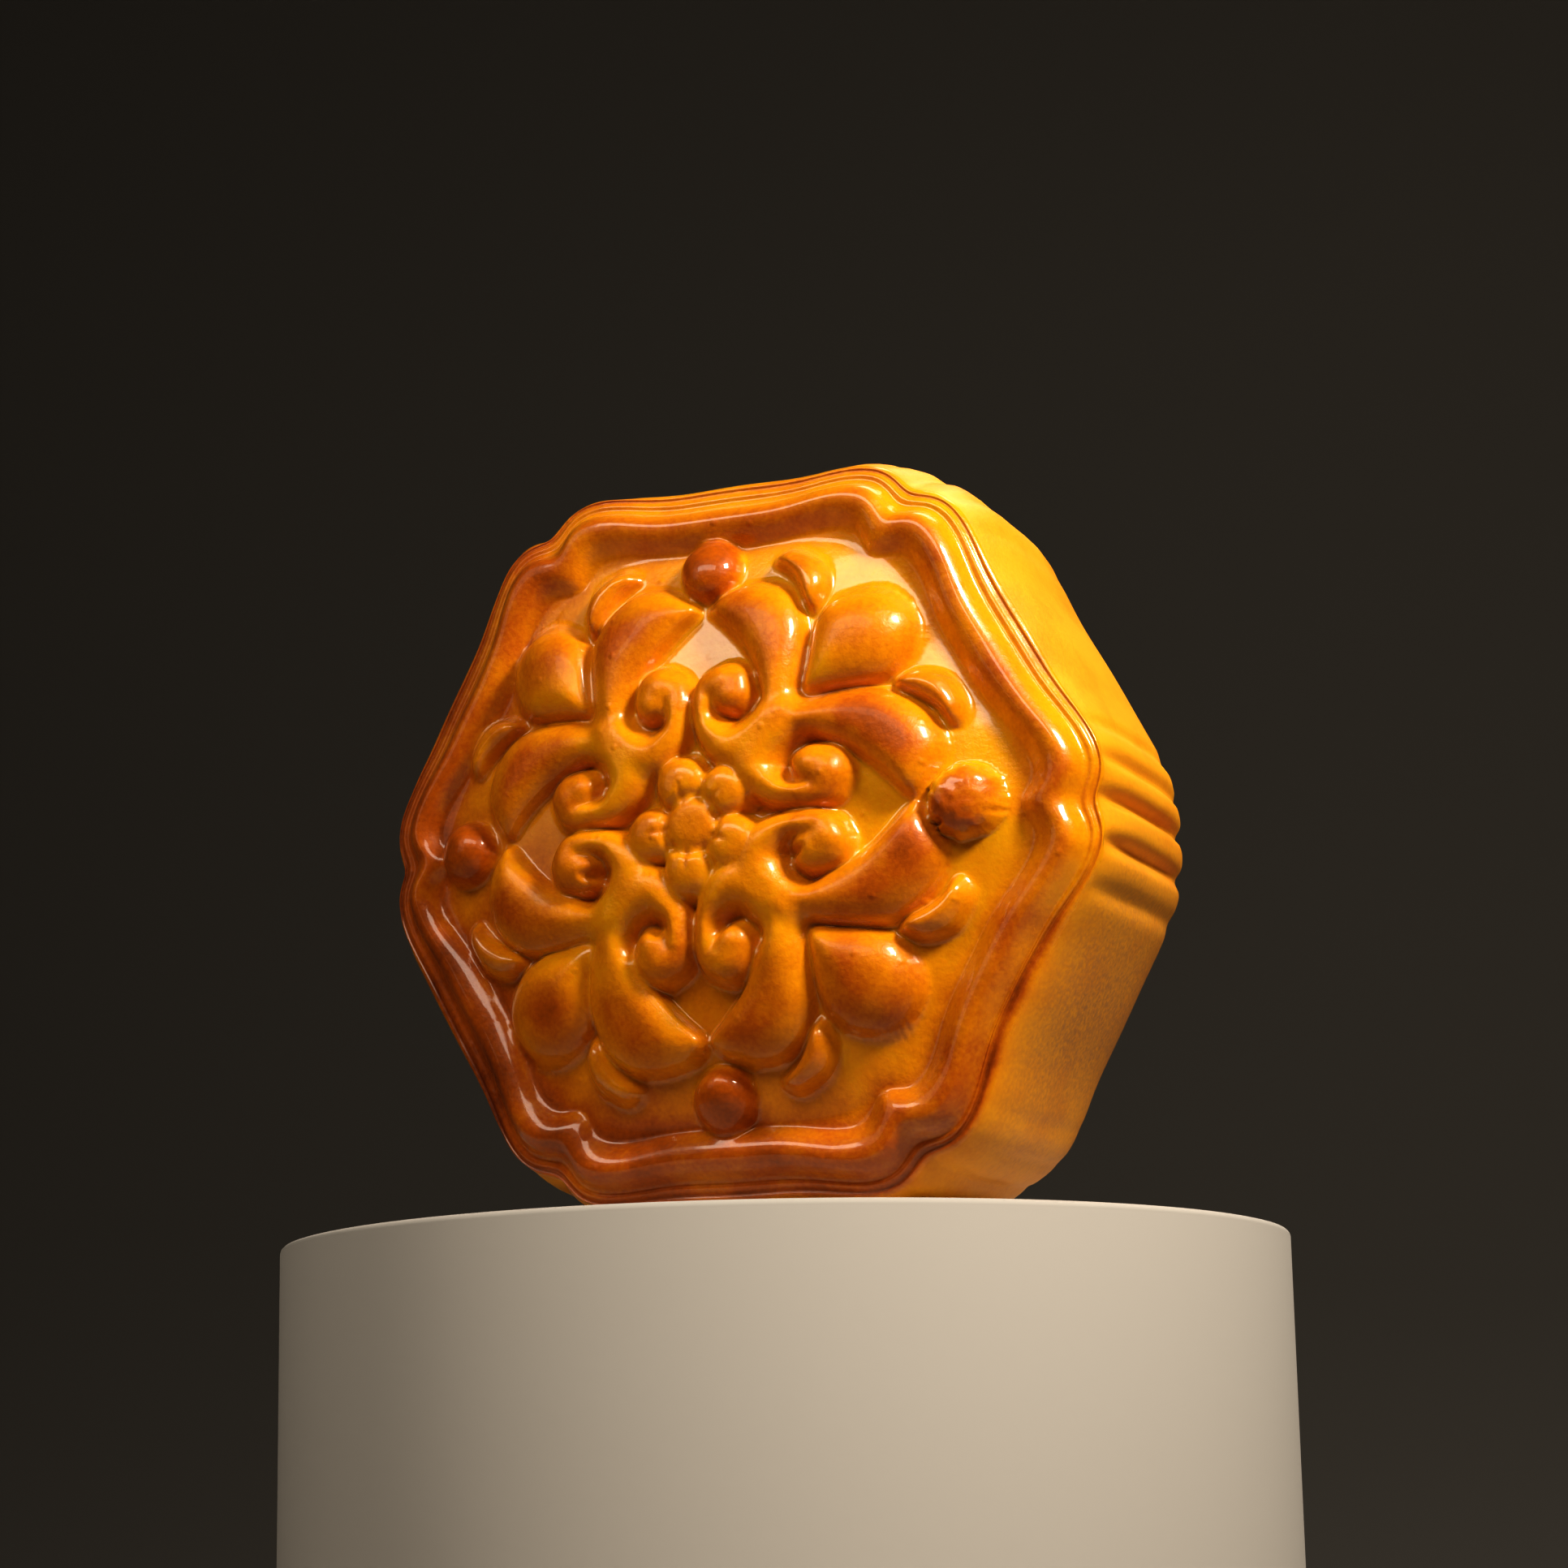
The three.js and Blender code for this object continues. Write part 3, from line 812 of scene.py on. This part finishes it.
def crust_colour(tree, colours, golden):
    """The crust's colour from its browning, mottled as oven heat and egg wash leave it."""
    place = add_node(tree, "ShaderNodeTexCoord").outputs["Object"]
    # This attribute holds both the baked colour and painted shade.
    browning = add_node(tree, "ShaderNodeAttribute", {"attribute_name": "browning"})
    # Patches of 6 mm or so where the wash lay thicker.
    patches = add_node(
        tree, "ShaderNodeTexNoise", {}, {"Scale": 1 / (6 * MM), "Detail": 3.0}, {"Vector": place}
    )
    # Flour grain of 0.25 mm, drawn a little coarser than it is so that it shows.
    grain = add_node(
        tree, "ShaderNodeTexNoise", {}, {"Scale": 1 / (0.45 * MM), "Detail": 2.0}, {"Vector": place}
    )
    shift = add_node(
        tree, "ShaderNodeMapRange", {},
        {**NOISE_SPAN, "To Min": -0.15, "To Max": 0.15}, {"Value": patches.outputs["Fac"]},
    )
    speck = add_node(
        tree, "ShaderNodeMapRange", {},
        {**NOISE_SPAN, "To Min": -0.05, "To Max": 0.05}, {"Value": grain.outputs["Fac"]},
    )
    tone = add_node(
        tree, "ShaderNodeMath", {"operation": "ADD"}, {},
        {0: browning.outputs["Fac"], 1: shift.outputs["Result"]},
    )
    tone = add_node(
        tree, "ShaderNodeMath", {"operation": "ADD", "use_clamp": True}, {},
        {0: tone.outputs[0], 1: speck.outputs["Result"]},
    )
    ramp = add_node(tree, "ShaderNodeValToRGB", {}, {}, {"Fac": tone.outputs[0]})
    stops = [
        (0.0, golden),
        (0.3, colours.amber),
        (0.62, colours.brown),
        (0.95, colours.dark),
    ]
    while len(ramp.color_ramp.elements) < len(stops):
        ramp.color_ramp.elements.new(0.5)
    for element, (position, colour) in zip(ramp.color_ramp.elements, stops):
        element.position = position
        element.color = srgb(hex_of(colour))
    return place, ramp.outputs["Color"], grain.outputs["Fac"], patches.outputs["Fac"]


def washed_crust(colours):
    """Baked dough under two coats of egg wash: brown, glossy and slightly clear, with pinhead
    bubbles set in the glaze."""
    material = bpy.data.materials.new("Egg-washed baked crust")
    material.use_nodes = True
    tree = material.node_tree
    shader = tree.nodes["Principled BSDF"]
    place, colour, _, patches = crust_colour(tree, colours, colours.golden)
    tree.links.new(colour, shader.inputs["Base Color"])

    # The wash pooled and stayed glassy on the sunk ground, and baked duller on the brown tops.
    browning = add_node(tree, "ShaderNodeAttribute", {"attribute_name": "browning"})
    gloss = add_node(
        tree, "ShaderNodeMapRange", {},
        {"From Min": 0.05, "From Max": 0.5, "To Min": 0.16, "To Max": 0.38},
        {"Value": browning.outputs["Fac"]},
    )
    uneven = add_node(
        tree, "ShaderNodeMapRange", {},
        {**NOISE_SPAN, "To Min": -0.06, "To Max": 0.08}, {"Value": patches},
    )
    roughness = add_node(
        tree, "ShaderNodeMath", {"operation": "ADD"}, {},
        {0: gloss.outputs["Result"], 1: uneven.outputs["Result"]},
    )
    tree.links.new(roughness.outputs[0], shader.inputs["Roughness"])
    satin = add_node(tree, "ShaderNodeAttribute", {"attribute_name": "satin"})
    glaze = add_node(
        tree, "ShaderNodeMath", {"operation": "SUBTRACT"}, {0: 1.0}, {1: satin.outputs["Fac"]}
    )
    tree.links.new(glaze.outputs[0], shader.inputs["Coat Weight"])

    # Bubbles up to 0.9 mm wide, one in three cells of 4.5 mm over the face's own plane.
    flat = add_node(
        tree, "ShaderNodeMapping", {}, {"Rotation": (math.pi / 2, 0, 0)}, {"Vector": place}
    )
    cells = add_node(
        tree, "ShaderNodeTexVoronoi", {"voronoi_dimensions": "2D"},
        {"Scale": 1 / (4.5 * MM), "Randomness": 1.0}, {"Vector": flat.outputs["Vector"]},
    )
    dome = add_node(
        tree, "ShaderNodeMapRange", {"interpolation_type": "SMOOTHSTEP"},
        {"From Min": 0.0, "From Max": 0.11, "To Min": 1.0, "To Max": 0.0},
        {"Value": cells.outputs["Distance"]},
    )
    chosen = add_node(
        tree, "ShaderNodeMath", {"operation": "GREATER_THAN"}, {1: 0.62},
        {0: cells.outputs["Color"]},
    )
    bubbles = add_node(
        tree, "ShaderNodeMath", {"operation": "MULTIPLY"}, {},
        {0: dome.outputs["Result"], 1: chosen.outputs[0]},
    )
    skin = add_node(
        tree, "ShaderNodeTexNoise", {}, {"Scale": 1 / (0.9 * MM), "Detail": 5.0, "Roughness": 0.6},
        {"Vector": place},
    )
    fine = add_node(
        tree, "ShaderNodeBump", {}, {"Strength": 0.9, "Distance": 0.09 * MM},
        {"Height": skin.outputs["Fac"]},
    )
    bump = add_node(
        tree, "ShaderNodeBump", {}, {"Strength": 0.5, "Distance": 0.12 * MM},
        {"Height": bubbles.outputs[0], "Normal": fine.outputs["Normal"]},
    )
    tree.links.new(bump.outputs["Normal"], shader.inputs["Normal"])
    shader.inputs["IOR"].default_value = 1.3
    shader.inputs["Coat Roughness"].default_value = 0.1
    shader.inputs["Coat IOR"].default_value = 1.45
    shader.inputs["Subsurface Weight"].default_value = 0.12
    shader.inputs["Subsurface Radius"].default_value = (1.0, 0.45, 0.15)
    shader.inputs["Subsurface Scale"].default_value = 1.5 * MM
    return material


def plain_crust(colours):
    """Baked dough without wash: satin and golden, with a fine floury grain, duller low down, where
    it is floury and in painted shade.
    """
    material = bpy.data.materials.new("Plain baked crust")
    material.use_nodes = True
    tree = material.node_tree
    shader = tree.nodes["Principled BSDF"]
    _, colour, grain, _ = crust_colour(tree, colours, colours.side)
    flour = add_node(tree, "ShaderNodeAttribute", {"attribute_name": "flour"})
    dust = add_node(
        tree, "ShaderNodeMapRange", {},
        {**NOISE_SPAN, "To Min": 0.35, "To Max": 1.0}, {"Value": grain},
    )
    # The lower right side is partly floury and partly painted shade.
    share = add_node(
        tree, "ShaderNodeMath", {"operation": "MULTIPLY"}, {},
        {0: flour.outputs["Fac"], 1: dust.outputs["Result"]},
    )
    # A colour Mix takes its colours on sockets 6 and 7, and gives the mixed one on its third.
    dusted_and_shaded = add_node(
        tree, "ShaderNodeMix", {"data_type": "RGBA"}, {7: srgb(hex_of(colours.dusty_and_shaded))},
        {0: share.outputs[0], 6: colour},
    )
    tree.links.new(dusted_and_shaded.outputs[2], shader.inputs["Base Color"])
    bump = add_node(
        tree, "ShaderNodeBump", {}, {"Strength": 0.5, "Distance": 0.06 * MM}, {"Height": grain}
    )
    tree.links.new(bump.outputs["Normal"], shader.inputs["Normal"])
    shader.inputs["Roughness"].default_value = 0.46
    shader.inputs["IOR"].default_value = 1.45
    shader.inputs["Subsurface Weight"].default_value = 0.15
    shader.inputs["Subsurface Radius"].default_value = (1.0, 0.5, 0.2)
    shader.inputs["Subsurface Scale"].default_value = 1.5 * MM
    return material


def painted_board():
    """Matt painted board: pale, even and without gloss."""
    material = bpy.data.materials.new("Matt painted board")
    material.use_nodes = True
    tree = material.node_tree
    shader = tree.nodes["Principled BSDF"]
    place = add_node(tree, "ShaderNodeTexCoord").outputs["Object"]
    fibre = add_node(
        tree, "ShaderNodeTexNoise", {}, {"Scale": 1 / (1.5 * MM), "Detail": 4.0},
        {"Vector": place},
    )
    bump = add_node(
        tree, "ShaderNodeBump", {}, {"Strength": 0.15, "Distance": 0.05 * MM},
        {"Height": fibre.outputs["Fac"]},
    )
    tree.links.new(bump.outputs["Normal"], shader.inputs["Normal"])
    shader.inputs["Base Color"].default_value = srgb(BOARD_COLOUR)
    shader.inputs["Roughness"].default_value = 0.8
    return material


# ---- Camera, lights and stage ----

# The camera's place in millimetres, its turn in degrees, and its lens and sensor in millimetres.
CAMERA_PLACE = (148.2, -336.8, -33.3)
CAMERA_TURN = (101.946, 1.002, 23.795)
CAMERA_LENS = 84.55
CAMERA_SENSOR = 36

# Rectangular lamps: [name, direction from the cake in the camera's axes, distance, width and
# height, colour].
SOFTBOXES = [
    ("key", (0.54, 0.73, 0.40), 360, (72, 84), "#fff2e2"),
    ("top", (-0.36, 0.76, 0.54), 420, (420, 120), "#fff2e2"),
    ("fill", (-0.84, 0.44, 0.30), 420, (180, 260), "#fff4e6"),
    ("back", (0.3, 0.75, -0.6), 600, (300, 300), "#fff4e6"),
]
LIT_HEIGHT = 38.0         # height of the cake's middle, which the lamps face
ROOM_COLOUR = "#f2ece4"
BOARD_COLOUR = "#b2afa9"

STAND_MIDDLE = (-11.4, 27.0)
STAND_HEIGHT = 160
STAND_BEVEL = 0.6
BACKDROP_SIZE = 1500


def add_camera():
    """The camera, in front of the face, to its right and a little below it."""
    data = bpy.data.cameras.new("camera")
    data.lens = CAMERA_LENS
    data.sensor_width = CAMERA_SENSOR
    data.clip_start = 0.01
    camera = bpy.data.objects.new("camera", data)
    camera.location = Vector(CAMERA_PLACE) * MM
    camera.rotation_euler = Euler([math.radians(angle) for angle in CAMERA_TURN])
    bpy.context.scene.collection.objects.link(camera)
    bpy.context.scene.camera = camera


def add_softbox(name, direction, distance, size, power, colour):
    """A rectangular lamp that faces the cake's middle, from a direction in the camera's axes."""
    turn = bpy.context.scene.camera.rotation_euler.to_matrix()
    toward = (turn @ Vector(direction)).normalized()
    data = bpy.data.lights.new(name, "AREA")
    data.shape = "RECTANGLE"
    data.size, data.size_y = size[0] * MM, size[1] * MM
    data.energy = power
    data.color = srgb(colour)[:3]
    lamp = bpy.data.objects.new(name, data)
    lamp.location = Vector((0, 0, LIT_HEIGHT * MM)) + toward * distance * MM
    lamp.rotation_euler = toward.to_track_quat("Z", "Y").to_euler()
    bpy.context.scene.collection.objects.link(lamp)


def add_stage_piece(name, bm, material):
    """A piece of the stage, which isn't part of the cake."""
    bmesh.ops.recalc_face_normals(bm, faces=bm.faces)
    mesh = bpy.data.meshes.new(name)
    bm.to_mesh(mesh)
    bm.free()
    mesh.shade_smooth()
    mesh.materials.append(material)
    piece = bpy.data.objects.new(name, mesh)
    bpy.context.scene.collection.objects.link(piece)


def add_stand(radius, material):
    """A round stand whose top is the plane that the cake stands on."""
    bm = bmesh.new()
    bmesh.ops.create_cone(
        bm, cap_ends=True, segments=192, radius1=radius * MM, radius2=radius * MM,
        depth=STAND_HEIGHT * MM,
    )
    rims = [
        edge for edge in bm.edges
        if len(edge.link_faces) == 2 and edge.calc_face_angle() > 1.0
    ]
    bmesh.ops.bevel(bm, geom=rims, offset=STAND_BEVEL * MM, segments=3, affect="EDGES",
                    profile=0.5, material=-1)
    place = Vector((*STAND_MIDDLE, -STAND_HEIGHT / 2)) * MM
    bmesh.ops.translate(bm, verts=bm.verts, vec=place)
    add_stage_piece("stand", bm, material)


def add_backdrop(material):
    """A floor at the stand's foot that curves up into a wall behind the cake."""
    bm = bmesh.new()
    reach = BACKDROP_SIZE
    rise = 0.5 * reach
    floor = -STAND_HEIGHT
    profile = [(-reach, floor), (reach * 0.4, floor)]
    for step in range(1, 13):
        turn = step / 12 * math.pi / 2
        profile.append((reach * 0.4 + rise * math.sin(turn), floor + rise * (1 - math.cos(turn))))
    profile.append((reach * 0.4 + rise, floor + rise + reach))
    line = [
        bmesh.ops.create_vert(bm, co=(-reach * MM, y * MM, z * MM))["vert"][0] for y, z in profile
    ]
    edges = [bm.edges.new(pair) for pair in zip(line, line[1:])]
    made = bmesh.ops.extrude_edge_only(bm, edges=edges)["geom"]
    verts = [item for item in made if isinstance(item, bmesh.types.BMVert)]
    bmesh.ops.translate(bm, verts=verts, vec=(2 * reach * MM, 0, 0))
    add_stage_piece("backdrop", bm, material)


def light_room(strength):
    """The room's even light, which fills the shadows."""
    world = bpy.data.worlds.new("room")
    world.use_nodes = True
    background = world.node_tree.nodes["Background"]
    background.inputs["Color"].default_value = srgb(ROOM_COLOUR)
    background.inputs["Strength"].default_value = strength
    bpy.context.scene.world = world


# ---- Sizes and colours that a user would change ----


def count_property(name, words, default):
    """A whole number of cells or rings."""
    return IntProperty(name=name, description=words, default=default, min=1)


def colour_property(name, words, code):
    """A colour, given as its sRGB hex code."""
    return FloatVectorProperty(
        name=name, description=words, default=channels(code), size=3, min=0, max=1,
        subtype="COLOR_GAMMA",
    )


def power_property(name, words, default):
    """The power of a lamp in watts."""
    return FloatProperty(name=name, description=words, default=default, min=0, unit="POWER")


class CrustSizes(bpy.types.PropertyGroup):
    """How finely the crust is divided"""

    segments: count_property("Face cells", "Cells across the pressed face", 210)
    ring_steps: count_property("Ring steps", "Rings of cells for each row of the section", 2)
    back_rings: count_property("Back rings", "Rings of cells over the back", 3)


class CrustColours(bpy.types.PropertyGroup):
    """Colours of the crust, from the least to the most baked, and of its side"""

    golden: colour_property("Golden", "The sunk ground, least baked", "#e6a616")
    amber: colour_property("Amber", "The scrolls and petals near their roots", "#df8f0c")
    brown: colour_property("Brown", "The arms' tips, the pearls and the rim's crest", "#b65e09")
    # The pearls' tops and the rim's slope at the lower left go toward this colour, and on that slope
    # the darkening is painted shade.
    dark: colour_property("Dark brown", "The rim's outer slope, most baked", "#703104")
    side: colour_property("Side", "The side, which has no wash", "#eca41c")
    # This colour is partly floury dough and partly painted shade.
    dusty_and_shaded: colour_property("Dusty", "The side where flour dulls it", "#b07c4c")


class StudioSizes(bpy.types.PropertyGroup):
    """Size of the stand and power of the lights"""

    stand_radius: FloatProperty(
        name="Stand radius", description="Radius of the round stand in millimetres", default=53.8
    )
    key_power: power_property("Key light", "Power of the key softbox", 1.42)
    top_power: power_property("Top light", "Power of the top softbox", 0.8)
    fill_power: power_property("Fill light", "Power of the left fill softbox", 0.07)
    back_power: power_property("Back light", "Power of the softbox behind the cake", 0.8)
    room_strength: FloatProperty(
        name="Room light", description="Strength of the room's even light", default=0.02
    )


# ---- Operators and panel ----


class MOONCAKE_OT_studio(bpy.types.Operator):
    """Set the camera, the softboxes, the stand and the backdrop"""

    bl_idname = "mooncake.studio"
    bl_label = "Build studio"

    def execute(self, context):
        studio = context.scene.mooncake_studio
        add_camera()
        for name, direction, distance, size, colour in SOFTBOXES:
            power = getattr(studio, f"{name}_power")
            add_softbox(f"{name} softbox", direction, distance, size, power, colour)
        light_room(studio.room_strength)
        board = painted_board()
        add_stand(studio.stand_radius, board)
        add_backdrop(board)
        context.scene.view_settings.view_transform = "Standard"
        context.scene.view_settings.look = "High Contrast"
        return {"FINISHED"}


class MOONCAKE_OT_crust(bpy.types.Operator):
    """Build the baked crust with its pressed pattern and finish"""

    bl_idname = "mooncake.crust"
    bl_label = "Build crust"

    def execute(self, context):
        crust = build_crust(context.scene.mooncake_sizes, context.scene.mooncake_colours)
        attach(crust, "root")
        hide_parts("mooncake")
        return {"FINISHED"}


class MOONCAKE_PT_panel(bpy.types.Panel):
    """Mooncake tools"""

    bl_idname = "MOONCAKE_PT_panel"
    bl_label = "Mooncake"
    bl_space_type = "VIEW_3D"
    bl_region_type = "UI"
    bl_category = "Mooncake"

    def draw(self, context):
        layout = self.layout
        scene = context.scene
        for group in (scene.mooncake_sizes, scene.mooncake_colours, scene.mooncake_studio):
            box = layout.box()
            for name in group.__annotations__:
                box.prop(group, name)
        layout.operator(MOONCAKE_OT_studio.bl_idname)
        layout.operator(MOONCAKE_OT_crust.bl_idname)


CLASSES = (
    CrustSizes,
    CrustColours,
    StudioSizes,
    MOONCAKE_OT_studio,
    MOONCAKE_OT_crust,
    MOONCAKE_PT_panel,
)


def register():
    """Registers the classes and hangs their sizes and colours on the scene."""
    for kind in CLASSES:
        bpy.utils.register_class(kind)
    bpy.types.Scene.mooncake_sizes = PointerProperty(type=CrustSizes)
    bpy.types.Scene.mooncake_colours = PointerProperty(type=CrustColours)
    bpy.types.Scene.mooncake_studio = PointerProperty(type=StudioSizes)


def unregister():
    """Takes off what register put on."""
    del bpy.types.Scene.mooncake_studio
    del bpy.types.Scene.mooncake_colours
    del bpy.types.Scene.mooncake_sizes
    for kind in reversed(CLASSES):
        bpy.utils.unregister_class(kind)


def main():
    """Builds everything."""
    register()
    bpy.ops.mooncake.studio()
    bpy.ops.mooncake.crust()


if __name__ == "__main__":
    main()
